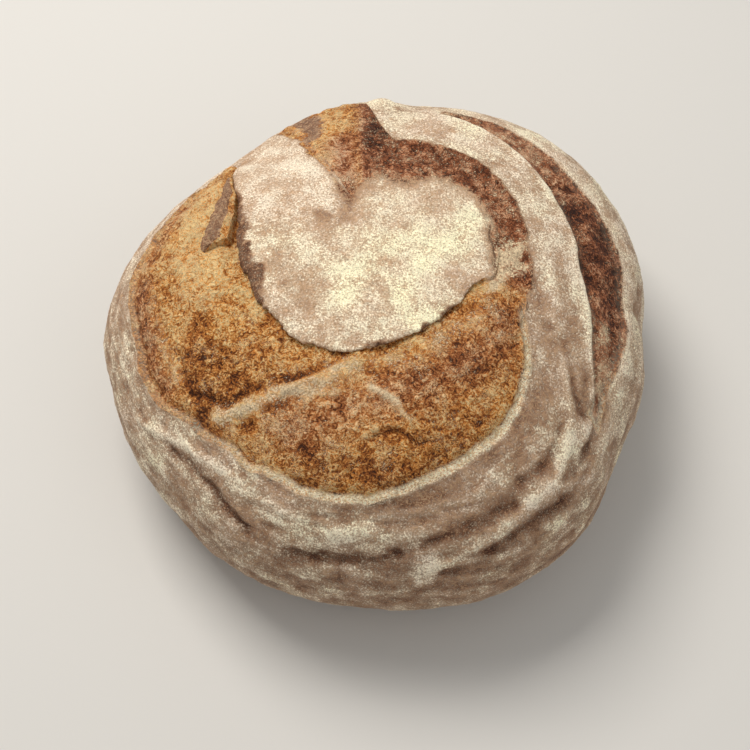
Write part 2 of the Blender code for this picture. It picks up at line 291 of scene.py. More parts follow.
roll = line_at(LID_ROLL, bearing) / MM_PER_RING
rise = line_at(LIP_RISE, bearing) * (1.0 + 0.5 * waver(60, 1.9))
print("the lid's crust, in mm:", round(float(crust.min()), 1), "to", round(float(crust.max()), 1))

# %% [markdown]
# ### The rows themselves
# Each row is a ring angle and a height above the skin for every bearing. `section` notes
# which part of the crust a row belongs to, because flour and colour follow the parts.

# %% The lid, its edge and its underside
LID_ROWS = 44
EDGE_ROWS = 6
UNDER_ROWS = 4
LID_CROWD = 0.85
JOINED_STEP = 0.2
LID, EDGE, UNDER, BURST, RIM, SOLE = range(6)
rows = []


def add_row(section, ring, height):
    rows.append((section, ring + 0.0 * bearing, height + 0.0 * bearing))


for row in range(1, LID_ROWS + 1):
    share = row / LID_ROWS
    lift = around_free * top * smooth(share * 1.3 - 0.3)
    add_row(LID, (lid_edge - roll) * share**LID_CROWD, lift)
for row in range(1, EDGE_ROWS + 1):
    quarter = 0.5 * math.pi * row / EDGE_ROWS
    drop = crust * (1.0 - math.cos(quarter))
    add_row(EDGE, lid_edge - roll * (1.0 - math.sin(quarter)), around_free * (top - drop))
for row in range(1, UNDER_ROWS + 1):
    back = around_free * UNDERCUT / MM_PER_RING * row / UNDER_ROWS
    forth = (1.0 - around_free) * JOINED_STEP * row
    add_row(UNDER, lid_edge + forth - back, around_free * (top - crust - 0.06 * row))
print(len(rows), "rows as far as the lid's underside")

# %% The burst crust
BURST_ROWS = 60


def burst_height(share):
    """The burst crust: it starts under the lid, swells, and dips just inside its lip."""
    start = line_at(BURST_START, bearing) * (1.0 - smooth(share / 0.35))
    swell = line_at(BURST_SWELL, bearing) * np.sin(math.pi * np.clip(share, 0.0, 1.0)) ** 1.3
    dip = LIP_DIP * (line_at(LIP_RISE, bearing) / 1.2) * np.exp(-(((share - 0.95) / 0.045) ** 2))
    return start + swell - dip


for row in range(BURST_ROWS):
    share = (row / BURST_ROWS) ** 1.03
    back = around_free * UNDERCUT / MM_PER_RING
    forth = (1.0 - around_free) * JOINED_STEP * (UNDER_ROWS + 1)
    ring = (lid_edge + forth - back) * (1.0 - share) + (burst_lip - 0.5) * share
    out = (ring - lid_edge) / (burst_lip - lid_edge)
    tuck = around_free * (1.0 - smooth(row / 6.0))
    add_row(BURST, ring, burst_height(out) * (1.0 - tuck) + (top - crust - LID_GAP) * tuck)
print(len(rows), "rows as far as the lip")

# %% The rim and the sole
LIP_ROWS = 5
UPPER_ROWS = 14
CREASE_ROWS = 5
LOWER_ROWS = 29
SOLE_ROWS = 15
BASE_ROWS = 7
LIP_STEP = 0.35
LIP_PROFILE = (1.0, 1.15, 1.1, 0.95, 0.85)
CREASE_WIDTH = 2.4
start = burst_lip + (LIP_ROWS - 0.5) * LIP_STEP
crease = shoulder - 0.5 * CREASE_WIDTH
for row in range(LIP_ROWS):
    add_row(RIM, burst_lip + (row - 0.5) * LIP_STEP, rise * LIP_PROFILE[row])
for row in range(1, UPPER_ROWS + CREASE_ROWS + LOWER_ROWS + 1):
    upper = start + (crease - start) * min(row / UPPER_ROWS, 1.0)
    narrow = CREASE_WIDTH * min(max(row - UPPER_ROWS, 0) / CREASE_ROWS, 1.0)
    lower = (90.0 - crease - CREASE_WIDTH) * max(row - UPPER_ROWS - CREASE_ROWS, 0) / LOWER_ROWS
    ring = upper + narrow + lower
    add_row(RIM, ring, 0.8 * rise * np.exp(-(ring - start) * MM_PER_RING / LIP_FADE))
for row in range(1, SOLE_ROWS + 1):
    add_row(SOLE, 90.0 + (SOLE_RING - 90.0) * row / SOLE_ROWS, 0.0)
print(len(rows), "rows of", BEARINGS, "points")

# %% Stack the rows into one net
section = np.array([part for part, ring, height in rows])
ring = np.array([ring for part, ring, height in rows])
height = np.array([height for part, ring, height in rows])
bearings = np.broadcast_to(bearing, ring.shape)
base = skin(ring, bearings)
out = outward(base)
print("ring angles run from", round(float(ring.min()), 1), "to", round(float(ring.max()), 1))

# %% [markdown]
# ## Ridges, creases, folds and the second burst
# The burst crust tore in steps while it baked, and each step left a ridge or a crease.
# The basket's cloth left folds low on the rim. Each is a line of (bearing, ring angle)
# points on a flat map of the skin, with a half width and a height in mm, and its
# cross-section is a bell curve, which has no edge to catch the light wrongly.
# The second burst is a hollow between two lines with a crisp torn edge beside it.

# %% A flat map of the skin
def on_map(bearing, ring):
    """A flat map of the skin, in mm, with the lid's centre in the middle."""
    around = np.radians(bearing)
    return MM_PER_RING * np.stack([ring * np.cos(around), ring * np.sin(around)], axis=-1)


def near_line(spots, points):
    """How far spots on the map are from a line of (bearing, ring angle) points, in mm."""
    corners = np.array([on_map(*point) for point in points])
    nearest = np.full(spots.shape[:-1], np.inf)
    for start, end in zip(corners[:-1], corners[1:]):
        reach = end - start
        share = np.clip(((spots - start) @ reach) / max(reach @ reach, 1e-9), 0.0, 1.0)
        away = np.linalg.norm(spots - start - share[..., None] * reach, axis=-1)
        nearest = np.minimum(nearest, away)
    return nearest


def bell(away, half_width):
    """1 at a line or a spot, falling to nothing over about twice the half width."""
    return np.exp(-((away / half_width) ** 2))


spots = on_map(bearings, ring)
bend = np.stack([layered(base / 16.0 + 3.0, 2), layered(base / 16.0 + 50.0, 2)], axis=-1)
spots = spots + 1.6 * bend
bent_ring = np.linalg.norm(spots, axis=-1) / MM_PER_RING
bent_bearing = np.degrees(np.arctan2(spots[..., 1], spots[..., 0]))
print("the map is", round(float(np.ptp(spots[..., 0]))), "mm across")

# %% Lines on the burst, as points, half width and rise in mm
FLOURED_RIDGE = ((228, 51.6), (233, 46.5), (239, 41.7), (248, 36.4), (257, 32.1), (266, 28.6))
RIDGE_VALLEY = ((219, 52.5), (228, 48.2), (234, 41.0), (245, 35.0), (256, 30.4))
SHORT_RIDGE = ((271, 33.5), (274, 34.6), (277, 36.3), (280, 39.0), (281, 41.5))
LEFT_CREASE = ((188, 50.0), (197, 49.2), (204, 49.1), (210, 49.3), (216, 51.5))
CRACK_ARC = ((268, 44.4), (271, 42.9), (274, 42.0), (277, 42.4), (282, 44.7), (287, 45.1))
ARC_LIP = ((268, 43.2), (271, 41.7), (274, 40.8), (277, 41.2), (282, 43.5))
BURST_LINES = (
    (FLOURED_RIDGE, 3.6, 2.0),
    (RIDGE_VALLEY, 2.4, -1.1),
    (SHORT_RIDGE, 1.6, 1.3),
    (LEFT_CREASE, 1.6, -0.9),
    (CRACK_ARC, 1.4, -0.6),
    (ARC_LIP, 1.4, 0.6),
    (((232, 42.6), (240, 39.3), (248, 35.5), (256, 31.2)), 1.0, 0.5),
    (((231, 27.6), (234, 29.9), (235, 31.7)), 1.4, -0.4),
    (((191, 42.0), (190, 40.4), (190, 37.9)), 1.3, -0.4),
    (((344, 27.0), (356, 26.4), (8, 25.0), (20, 23.0)), 1.3, -0.5),
    (((356, 30.5), (351, 30.0)), 5.0, 0.8),
)
print(len(BURST_LINES), "lines on the burst")

# %% Folds of the rim
LOWER_FOLD = (
    (280, 75.6), (285, 72.8), (292, 70.0), (298, 66.6), (304, 64.7), (310, 64.0), (316, 61.5),
)  # fmt: skip
UPPER_FOLD = (
    (208, 72.0), (216, 67.5), (221, 65.3), (225, 63.1), (229, 61.5), (233, 60.8), (238, 60.5),
)  # fmt: skip
RIM_LINES = (
    (LOWER_FOLD, 2.8, 0.9),
    (((316, 61.5), (321, 58.5), (325, 54.0), (330, 49.0)), 2.8, 0.6),
    (((302, 59.5), (306, 59.3), (310, 59.5), (316, 57.0)), 3.0, -0.8),
    (((293, 73.6), (300, 70.6), (305, 70.3), (310, 70.2)), 3.4, -0.8),
    (((275, 69.5), (280, 67.5), (287, 65.3), (293, 63.8), (299, 63.1)), 3.6, -0.9),
    (UPPER_FOLD, 3.4, 1.1),
    (((221, 68.5), (226, 66.9), (232, 66.8), (235, 68.2), (238, 69.8), (243, 72.3)), 3.4, -1.4),
    (((240, 63.5), (247, 62.0), (254, 64.5)), 6.0, 0.8),
    (((252, 75.0), (263, 73.0), (271, 72.1), (277, 70.3)), 4.0, -0.9),
    (((262, 65.5), (268, 64.0)), 6.0, 0.6),
    (((336, 43.0), (334, 49.0), (328, 54.8), (325, 60.8)), 2.4, -0.7),
    (((355, 40.0), (340, 42.0), (334, 46.0)), 3.4, 0.5),
    (((302, 78.0), (312, 75.0), (322, 72.0)), 4.0, 0.7),
    (((330, 68.0), (322, 66.0), (314, 66.5)), 3.0, -0.7),
)
print(len(RIM_LINES), "folds on the rim")

# %% The second burst, the notch and the peak
CRESCENT_OUTER = (
    (82, 49.6), (68, 49.4), (57, 50.8), (44, 50.4), (30, 52.3), (20, 58.1), (9, 63.0), (-10, 65.6),
    (-20, 64.8), (-27, 67.0), (-33, 69.6),
)  # fmt: skip
CRESCENT_DEPTH = 2.2
CRESCENT_LIP = 0.6
CRESCENT_FROM = -37.0
CRESCENT_TO = 74.0
NOTCH = ((101, 28.0), (101, 22.0), (104, 16.0), (115, 9.0))
NOTCH_HALF_WIDTH = 5.0
NOTCH_DEPTH = 1.8
PEAK_AT = (87, 50.0)
PEAK_RADIUS = 8.0
PEAK_RISE = 3.6
crescent_outer = line_at(CRESCENT_OUTER, bearing) + 0.5 * waver(36, 3.3) + 0.35 * waver(100, 8.1)
span = turn_between(bearing, 0.0)
along_crescent = smooth((span - CRESCENT_FROM) / 8.0) * smooth((CRESCENT_TO - span) / 9.0)
in_crescent = along_crescent * smooth((ring - shoulder + 0.5) / 1.1)
in_crescent = in_crescent * smooth((crescent_outer - ring + 1.0) / 2.6)
relief = CRESCENT_LIP * along_crescent * bell(ring - shoulder + 1.3, 1.2)
relief = relief - CRESCENT_DEPTH * in_crescent
uneven = 1.0 + 0.7 * layered(base / 20.0 + 70.0, 3)
for points, half_width, lift in BURST_LINES + RIM_LINES:
    relief = relief + lift * bell(near_line(spots, points), half_width) * uneven
relief = relief - NOTCH_DEPTH * bell(near_line(spots, NOTCH), NOTCH_HALF_WIDTH)
on_peak = bell(np.linalg.norm(spots - on_map(*PEAK_AT), axis=-1), PEAK_RADIUS)
relief = relief + PEAK_RISE * on_peak
print("relief from", round(float(relief.min()), 1), "to", round(float(relief.max()), 1), "mm")

# %% [markdown]
# ## The parts of the crust
# Torn crust is rough and golden, floured skin is soft and pale, and the line between them
# is crisp. A mask stored on the mesh would blur that line over a whole quad. So the mesh
# keeps the distance to it in mm instead, plus on the torn side and minus on the skin, and
# the material cuts it at zero, with noise, far finer than the mesh. `BARE_PATCH` is a
# scrap of brown skin that stayed on the torn crust at the back.

# %% Distance to the torn crust's border
LID_FADE = (
    (-16, 27.0), (-4, 26.3), (9, 25.6), (22, 24.0), (34, 21.6), (46, 18.6), (54, 14.6), (64, 14.0),
    (77, 13.6), (89, 13.0), (104, 11.6), (112, 9.0), (116, 9.2), (117, 14.4), (115, 20.2),
    (114, 27.4), (115, 34.3), (114, 50.0), (117, 62.0), (137, 64.0), (150, 60.0), (165, 36.0),
    (200, 34.0), (270, 34.0), (330, 32.0),
)  # fmt: skip
HINGE_SOFTNESS = 2.4
FAR = 9.0
BARE_PATCH = ((110, 59.0), (108, 50.0), (109, 42.0), (111, 37.0))
PATCH_REACH = 6.0
loose = np.broadcast_to(around_free, ring.shape)
past_border = np.where(bent_ring > line_at(LID_FADE, bent_bearing, 0.2), 1.0, -1.0)
from_border = past_border * near_line(spots, LID_FADE + LID_FADE[:1]) + 1.2 * layered(base / 5.0, 2)
outside_lid = np.where(section <= EDGE, -FAR, FAR)[:, None] * loose
outside_lid = outside_lid + (1.0 - loose) * np.clip(from_border / HINGE_SOFTNESS, -FAR, FAR)
inside_lip = MM_PER_RING * (burst_lip - ring)
burst_side = np.minimum(outside_lid, inside_lip)
crescent_side = MM_PER_RING * np.minimum(ring - shoulder, (crescent_outer - ring) / 1.5)
crescent_ends = 2.0 * np.minimum(span - CRESCENT_FROM - 3.0, CRESCENT_TO - 4.0 - span)
crescent_side = np.minimum(crescent_side, crescent_ends)
off_patch = (near_line(spots, BARE_PATCH) - PATCH_REACH + 3.0 * layered(base / 6.0 + 9.0, 3)) / 2.0
torn_side = np.clip(np.minimum(np.maximum(burst_side, crescent_side), off_patch), -FAR, FAR)
torn = smooth(torn_side / 1.4 + 0.5)
print("torn crust covers", round(100 * float(torn.mean())), "% of the net's points")

# %% Masks for the lid, its edge and the rim
BROWN_EDGE = (
    (137, 1.0), (147, 2.5), (158, 4.5), (172, 6.0), (184, 6.0), (194, 8.0), (205, 9.0), (213, 6.0),
    (221, 1.6), (240, 0.8), (340, 0.5),
)  # fmt: skip
on_lid_rows = np.where(section <= EDGE, 1.0, 0.0)[:, None]
is_edge = np.where(section == EDGE, 1.0, 0.0)[:, None] * loose
is_under = np.where(section == UNDER, 1.0, 0.0)[:, None] * loose
sole = smooth((ring - 96.0) / 30.0)
is_rim = smooth((ring - burst_lip) / 1.0)
is_lid = (1.0 - torn) * (1.0 - is_rim)
print("the sole starts at row", int(np.argmax(section == SOLE)))

# %% [markdown]
# ## Lumps, tears and wrinkles
# Real crust has relief at every size. Swells a few centimetres across come from the gas
# in the dough, tears some millimetres apart run across the burst, and the floured skin
# has shallow folds that lie along the rim where the cloth pressed them.
# Stretching the space that the noise is read in stretches its lumps into folds.

# %% Noise relief
RIM_RADIUS = 100.0


def lumps(size, seed, octaves=3, ridged=False):
    """Noise with lumps of about that size in mm at each point of the net."""
    return layered(base / size + seed, octaves, ridged)


def folds(long, wide, seed, octaves=3):
    """Noise drawn out round the loaf, in folds about so long and so wide in mm."""
    around = np.radians(bearings)
    level = MM_PER_RING * ring / wide + 2.0 * lumps(40.0, seed + 9.0, 1)
    on_circle = [RIM_RADIUS * np.cos(around) / long, RIM_RADIUS * np.sin(around) / long, level]
    return layered(np.stack(on_circle, -1) + seed, octaves)


swell = lumps(60.0, 3.1, 2)
blisters = lumps(10.0, 7.7, 3)
tears = lumps(13.0, 21.4, 4, ridged=True)
shreds = lumps(5.0, 27.3, 3, ridged=True)
flakes = lumps(4.0, 11.9, 2)
rim_folds = folds(34.0, 9.0, 31.0)
wrinkles = folds(14.0, 3.6, 61.0, 2)
above = smooth((SOLE_RING - ring) / 12.0)
steep = smooth((ring - 45.0) / 20.0)
rough = torn * (0.8 * tears + 0.4 * shreds) + (0.16 + 0.08 * torn + 0.3 * is_edge) * flakes
skin_relief = (0.24 + 0.16 * steep) * blisters + (0.5 * rim_folds + 0.3 * wrinkles) * steep
gentle = 0.7 * swell + (1.0 - torn) * skin_relief
fold_fade = np.where((section == UNDER) | (section == EDGE), 0.35, 1.0)[:, None]
bumps = above * (gentle + rough * fold_fade)
print("noise relief from", round(float(bumps.min()), 2), "to", round(float(bumps.max()), 2), "mm")


# %% What stands proud of its surroundings
def blurred(values, rounds):
    """The net's values, each averaged with its neighbours again and again."""
    for _ in range(rounds):
        values = (np.roll(values, 1, axis=1) + values + np.roll(values, -1, axis=1)) / 3.0
        edged = np.pad(values, ((1, 1), (0, 0)), "edge")
        values = (edged[:-2] + values + edged[2:]) / 3.0
    return values


# This map marks crests and hollows. Crests get more flour and a paler bake and skin, hollows less
# flour and a darker bake and skin: partly flour knocked onto ridges, partly painted light on crests
# and painted shade in hollows.
proud_for_flour_and_shade = relief + bumps
proud_for_flour_and_shade = np.clip(proud_for_flour_and_shade - blurred(proud_for_flour_and_shade, 14), -1.0, 1.0)
places = base + out * (height + above * relief + bumps)[..., None]
print("crests stand up to", round(float(proud_for_flour_and_shade.max()), 1), "mm proud")

# %% [markdown]
# ### Close the base and stay in the solid's box
# The base is flat, because the loaf baked on the oven floor. Its rows shrink to a point
# in the middle, and the few lumps that would stand out of the solid's box are pressed back.

# %% Base rows and limits
MARGIN = 0.05
low, high = (np.array(corner) / MM for corner in cad_box)
flat = places[-1] * np.array([1.0, 1.0, 0.0])
base_rows = [flat * (1.0 - row / BASE_ROWS) for row in range(1, BASE_ROWS)]
places = np.concatenate([places, np.array(base_rows)])
places = np.clip(places, low + [MARGIN, MARGIN, 0.0], high - MARGIN)
top_place = skin(np.array(0.0), np.array(0.0)) + [0.0, 0.0, float(bumps[0].mean())]
print("net of", places.shape[0] * BEARINGS, "points")

# %% [markdown]
# ## From net to mesh
# Spinning a row of points right round the axis makes every ring and quad at once, with
# the seam merged. The sheet starts as a plain tube of radius 1 whose height counts the
# rows, so each point knows its row from its height and its bearing from its direction.
# Then it moves to its place. The two ends of the tube are closed to single points.

# %% Spin a tube and move its points
def spun_tube(row_count, steps):
    """A tube of quads round the axis, closed at both ends, whose height counts the rows."""
    mesh = bmesh.new()
    line = [mesh.verts.new((0.0, 0.0, 0.0))]
    line += [mesh.verts.new((1.0, 0.0, row)) for row in range(1, row_count + 1)]
    line.append(mesh.verts.new((0.0, 0.0, row_count + 1.0)))
    edges = [mesh.edges.new(pair) for pair in zip(line[:-1], line[1:])]
    around = {"axis": (0.0, 0.0, 1.0), "cent": (0.0, 0.0, 0.0), "angle": 2.0 * math.pi}
    bmesh.ops.spin(mesh, geom=line + edges, steps=steps, use_merge=True, **around)
    bmesh.ops.remove_doubles(mesh, verts=mesh.verts, dist=0.001)
    return mesh


def finished(name, mesh):
    """A smooth-shaded object at the origin, made from a bmesh."""
    bmesh.ops.recalc_face_normals(mesh, faces=mesh.faces)
    data = bpy.data.meshes.new(name)
    mesh.to_mesh(data)
    mesh.free()
    data.shade_smooth()
    piece = bpy.data.objects.new(name, data)
    bpy.context.scene.collection.objects.link(piece)
    return piece


def net_object(name, places, first, last, maps):
    """A closed mesh from a net of places in mm, with a number from each map at each point."""
    row_count, steps = places.shape[:2]
    mesh = spun_tube(row_count, steps)
    tube = np.array([vert.co for vert in mesh.verts])
    row = np.rint(tube[:, 2]).astype(int) - 1
    turned = np.degrees(np.arctan2(tube[:, 1], tube[:, 0]))
    step = np.rint(turned * steps / 360.0).astype(int) % steps
    inner = np.clip(row, 0, row_count - 1)
    moved = np.where((row < 0)[:, None], first, places[inner, step])
    moved = np.where((row >= row_count)[:, None], last, moved) * MM
    for vert, place in zip(mesh.verts, moved):
        vert.co = place
    piece = finished(name, mesh)
    for key, values in maps.items():
        full = np.concatenate([values, np.repeat(values[-1:], row_count - len(values), axis=0)])
        layer = piece.data.attributes.new(key, "FLOAT", "POINT")
        layer.data.foreach_set("value", full[inner, step].astype(np.float32))
    return piece


print("a tube is closed by 2 end points and has rows x steps more")

# %% [markdown]
# ## Where the flour lies, how dark the crust baked, and painted shade
# Flour stays where the skin touched the basket and is gone where the crust tore after
# the loaf was dusted. Some is knocked onto ridges. Some places baked darker than others.
# Each map is made from the same lines and noise as the shape, so crests carry more flour
# than hollows, plus soft dabs where a patch has its own place. The maps also paint shade
# and light: hollows, the ridge's valley, the lower parts of the burst's lobes, the folds'
# valleys and the lid's underside are darker as painted shade, and crests are paler as
# painted light.

# %% Soft dabs
def dabs(items):
    """Soft dabs added up: each is a line of (bearing, ring angle), a radius in mm, a strength."""
    total = np.zeros(ring.shape)
    for points, radius, strength in items:
        line = points if len(points) > 1 else points * 2
        total = total + strength * bell(near_line(spots, line), radius)
    return total


patchy = lumps(17.0, 41.0, 3)
streaky = folds(26.0, 5.0, 51.0, 3)
ragged = 3.0 * patchy + 2.4 * lumps(6.0, 44.0, 3)
near_edge = smooth((MM_PER_RING * (ring - lid_edge) + line_at(BROWN_EDGE, bearing) + ragged) / 3.0)
near_edge = np.clip(near_edge * on_lid_rows * loose + is_under, 0.0, 1.0)
print("the brown edge covers", round(100 * float(near_edge.mean()), 1), "% of the net's points")

# %% Flour on the skin
RIM_DUST = (
    (0, 0.62), (60, 0.64), (120, 0.70), (150, 0.58), (200, 0.45), (215, 0.53), (235, 0.45),
    (260, 0.38), (290, 0.35), (320, 0.41), (345, 0.58),
)  # fmt: skip
LID_DUST = 0.66
RIM_DUST_MORE = 0.035
LEFT_FOLD = ((221, 68.5), (226, 66.9), (232, 66.8), (238, 69.8), (243, 72.3))
FRONT_FOLD = ((280, 67.5), (287, 65.3), (299, 63.1))
BACK_SCAR = ((109, 60.0), (108, 44.0), (111, 38.0))
THICK_DUST = (
    (((348, 9.9), (320, 6.0), (254, 10.6), (254, 15.0)), 8.0, 0.30),
    (((291, 17.1), (315, 14.0), (352, 17.9), (12, 21.0)), 7.0, 0.26),
    (((293, 22.5), (316, 25.5)), 4.5, 0.3),
    (((117, 17.5), (124, 28.7), (125, 44.0)), 9.0, 0.16),
    (((145, 28.3), (165, 22.0)), 6.0, 0.14),
    (((212, 70.0), (216, 67.5), (221, 65.3), (225, 63.1), (233, 60.8), (238, 59.5)), 3.6, 0.26),
    (((240, 62.5), (247, 61.5), (252, 65.0)), 6.5, 0.20),
    (((262, 66.0), (268, 63.0)), 6.5, 0.18),
    (((308, 64.0), (302, 65.5)), 4.6, 0.44),
    (((279.0, 77.5), (280.8, 73.5)), 6.0, 0.85),
    (((313, 61.3), (320, 59.5)), 4.6, 0.40),
    (((322, 52.5), (316, 55.7)), 4.5, 0.16),
    (((15, 45.0), (45, 42.5), (65, 44.0)), 2.5, 0.18),
)
BARE_SKIN = (
    (((157, 10.3), (160, 8.0)), 3.2, 0.5),
    (((121, 12.0), (132, 8.0), (160, 5.0)), 5.0, 0.12),
    (((92, 11.0), (110, 8.0)), 4.0, 0.1),
    (((277, 8.3), (1, 8.3)), 5.0, 0.16),
    (((285, 14.6), (284, 19.1)), 2.2, 0.28),
    (((236, 19.8), (210, 18.0)), 7.0, 0.14),
    (((218, 20.7),), 2.2, 0.3),
    (((176, 19.5), (192, 17.0), (205, 19.5)), 4.0, 0.20),
    (((118, 9.0), (150, 4.0), (60, 3.0)), 3.6, 0.16),
    (BACK_SCAR, 8.0, 0.27),
    (((88, 56.0), (87, 47.0)), 7.0, 0.16),
    (LEFT_FOLD, 5.0, 0.16),
    (((302, 59.5), (310, 59.5)), 4.0, 0.14),
    (((293, 73.6), (300, 70.6), (310, 70.2)), 4.5, 0.13),
    (FRONT_FOLD, 4.5, 0.14),
    (((243, 72.3), (252, 75.0), (263, 73.0), (271, 72.1), (285, 76.0)), 7.0, 0.14),
    (((247, 82.0), (275, 84.0), (300, 84.0)), 9.0, 0.08),
    (((334, 49.0), (328, 54.8), (325, 60.8)), 3.6, 0.12),
)
hinge = 1.0 - loose
fading = 1.0 - hinge * (1.0 - is_rim) * (1.0 - smooth(0.3 - from_border / 9.0)) * 0.7
# The proud terms in lid_dust and rim_dust lay more flour on crests: partly flour knocked onto
# ridges, partly a painted highlight on crests.
lid_dust = (LID_DUST + 0.18 * patchy + 0.18 * blisters + 0.34 * proud_for_flour_and_shade) * fading
rim_dust = RIM_DUST_MORE + line_at(RIM_DUST, bearing, 10.0) + 0.13 * patchy + 0.18 * streaky
rim_dust = rim_dust + 0.20 * blisters + 0.28 * proud_for_flour_and_shade
dust = (1.0 - is_rim) * lid_dust + is_rim * rim_dust + dabs(THICK_DUST) - dabs(BARE_SKIN)
dust = np.clip((dust * (1.0 - near_edge) - 0.06 * near_edge) * (1.0 - 0.4 * sole), -0.5, 1.1)
print("flour on the skin averages", round(float(dust.mean()), 2))

# %% Flour on the torn crust
SPECKLED = (
    (((229, 50.5), (233, 47.0), (239, 42.2), (248, 37.0), (258, 32.8)), 5.0, 0.38),
    (((233, 48.5), (238, 45.0)), 6.0, 0.13),
    (((262, 30.5), (285, 28.0), (315, 27.5), (338, 28.5)), 4.6, 0.26),
    (((250, 41.0), (258, 37.0), (272, 35.0)), 7.0, 0.12),
    (((275, 34.0), (300, 33.0)), 5.0, 0.08),
    (((184, 50.6), (194, 50.6)), 3.0, 0.16),
    (((198, 51.0), (206, 51.6), (213, 53.4)), 5.0, 0.30),
    (((24, 45.4), (14, 48.0), (3, 50.2)), 2.2, 0.16),
    (((68, 47.0), (50, 46.0), (34, 45.0)), 4.5, 0.20),
    (((345, 58.0), (333, 64.0)), 7.0, 0.24),
    (((86, 36.0),), 6.0, 0.10),
    (((190, 55.0), (200, 56.0)), 6.0, 0.12),
    (((358, 31.2), (350, 30.0)), 6.0, 0.76),
    (((345, 29.6), (338, 28.6)), 4.0, 0.20),
    (((321, 33.0), (325, 31.5)), 2.6, 0.2),
    (((272, 33.8), (277, 36.3), (281, 40.0)), 1.6, 0.44),
    (((92, 31.5),), 2.0, 0.5),
    (((240, 34.5), (250, 31.5), (262, 29.0)), 3.0, 0.12),
)
crescent = smooth(crescent_side / 2.0)
low_crescent = smooth((0.0 - span) / 22.0) + 1.1 * smooth((span - 16.0) / 24.0)
arc = smooth((96.0 - span) / 6.0) * smooth((span + 26.0) / 14.0) * hinge * (1.0 - crescent)
# The proud term lays more specks on crests: partly real flour, partly painted light.
specks = 0.04 + 0.10 * streaky + 0.10 * patchy + 0.12 * proud_for_flour_and_shade + 1.6 * dabs(SPECKLED)
specks = specks + (0.05 + 0.18 * low_crescent) * crescent + 0.14 * arc
specks = specks + 0.22 * hinge * np.exp(-np.maximum(from_border, 0.0) / 5.0)
specks = np.clip(specks * (1.0 - is_under), 0.0, 1.0)
print("flour on the torn crust averages", round(float(specks.mean()), 2))

# %% Bake with painted shade and light, and its hue
# Some of these darker dabs are the crust's own bake, and some are painted shade: the one along the
# ridge's valley and those on the lower parts of the lobes darken them where shade falls. The pale
# gold on the upper left lobe is partly less bake and partly painted light.
BROWNED_AND_SHADED = (
    (((205, 38.0), (216, 40.0), (228, 37.0)), 11.0, 0.10),
    (((225, 54.0), (215, 46.0), (228, 45.0)), 12.0, 0.20),
    (((219, 52.5), (228, 48.2), (234, 41.0), (245, 35.0)), 2.8, 0.14),
    (((250, 44.0), (262, 38.0)), 8.0, 0.05),
    (((255, 50.0), (275, 49.0), (290, 46.0)), 13.0, 0.16),
    (((288, 34.0), (305, 32.0), (325, 33.5)), 11.0, 0.16),
    (((184, 54.0), (195, 56.0), (206, 57.0)), 9.0, 0.14),
    (((86, 42.0), (85, 30.0), (88, 26.0)), 6.0, 0.28),
    (((118, 9.0), (112, 14.0)), 5.0, 0.10),
)
PALE_GOLD_AND_LIT = (
    (((150, 44.0), (172, 38.0), (192, 36.0)), 14.0, 0.31),
    (((205, 28.5), (218, 29.5)), 3.0, 0.18),
    (((103, 50.0), (99, 38.0)), 7.0, 0.14),
    (((110, 33.0), (105, 35.0)), 4.0, 0.10),
    (((103, 27.0), (107, 18.0)), 7.0, 0.14),
    (((250, 38.0), (262, 33.0)), 6.0, 0.08),
)
RUDDY = (
    (((250, 44.0), (264, 38.0), (288, 34.0), (305, 32.0), (325, 33.5)), 12.0, 0.55),
    (((184, 54.0), (195, 56.0), (210, 57.0)), 9.0, 0.6),
    (((102, 28.0), (106, 19.0), (116, 10.0)), 9.0, 0.9),
    (((88, 43.0), (86, 33.0)), 6.0, 0.8),
    (((158, 50.0), (175, 54.0)), 6.0, 0.4),
)
PLAIN_BAKE = 0.425
# The proud term makes the bake paler on crests and darker in hollows: painted light and painted
# shade.
bake_and_shade = PLAIN_BAKE + 1.2 * dabs(BROWNED_AND_SHADED) - 1.2 * dabs(PALE_GOLD_AND_LIT) + 0.11 * patchy - 0.25 * proud_for_flour_and_shade
# The 0.3 on the lid's underside darkens it as painted shade under the lid; the arc and the crescent
# have their own darker crust.
bake_and_shade = bake_and_shade + 0.3 * is_under + 0.26 * arc + crescent * (0.39 - 0.36 * low_crescent)
bake_and_shade = np.clip(bake_and_shade, 0.0, 1.0)
ruddy = np.clip(0.10 + dabs(RUDDY) + 0.12 * patchy + crescent + arc, 0.0, 1.0)
print("bake from", round(float(bake_and_shade.min()), 2), "to", round(float(bake_and_shade.max()), 2))

# %% How dark the skin is, with painted shade in its folds, and how yellow its flour
# These dabs darken the skin along the valleys of the rim's folds, which is painted shade in the
# creases; the one on the back scar is the scar's own darker skin.
TAN_AND_CREASE_SHADE = (
    (LEFT_FOLD, 6.0, 0.2),
    (((252, 75.0), (263, 73.0), (271, 72.1), (285, 76.0)), 7.0, 0.16),
    (((293, 73.6), (300, 70.3), (310, 70.2)), 5.0, 0.15),
    (FRONT_FOLD, 5.0, 0.12),
    (BACK_SCAR, 7.0, 0.1),
)
PLAIN_TAN = 0.45
LID_PALER = 0.16
tan_and_shade = PLAIN_TAN - LID_PALER * is_lid * (1.0 - near_edge) + dabs(TAN_AND_CREASE_SHADE) + 0.14 * near_edge
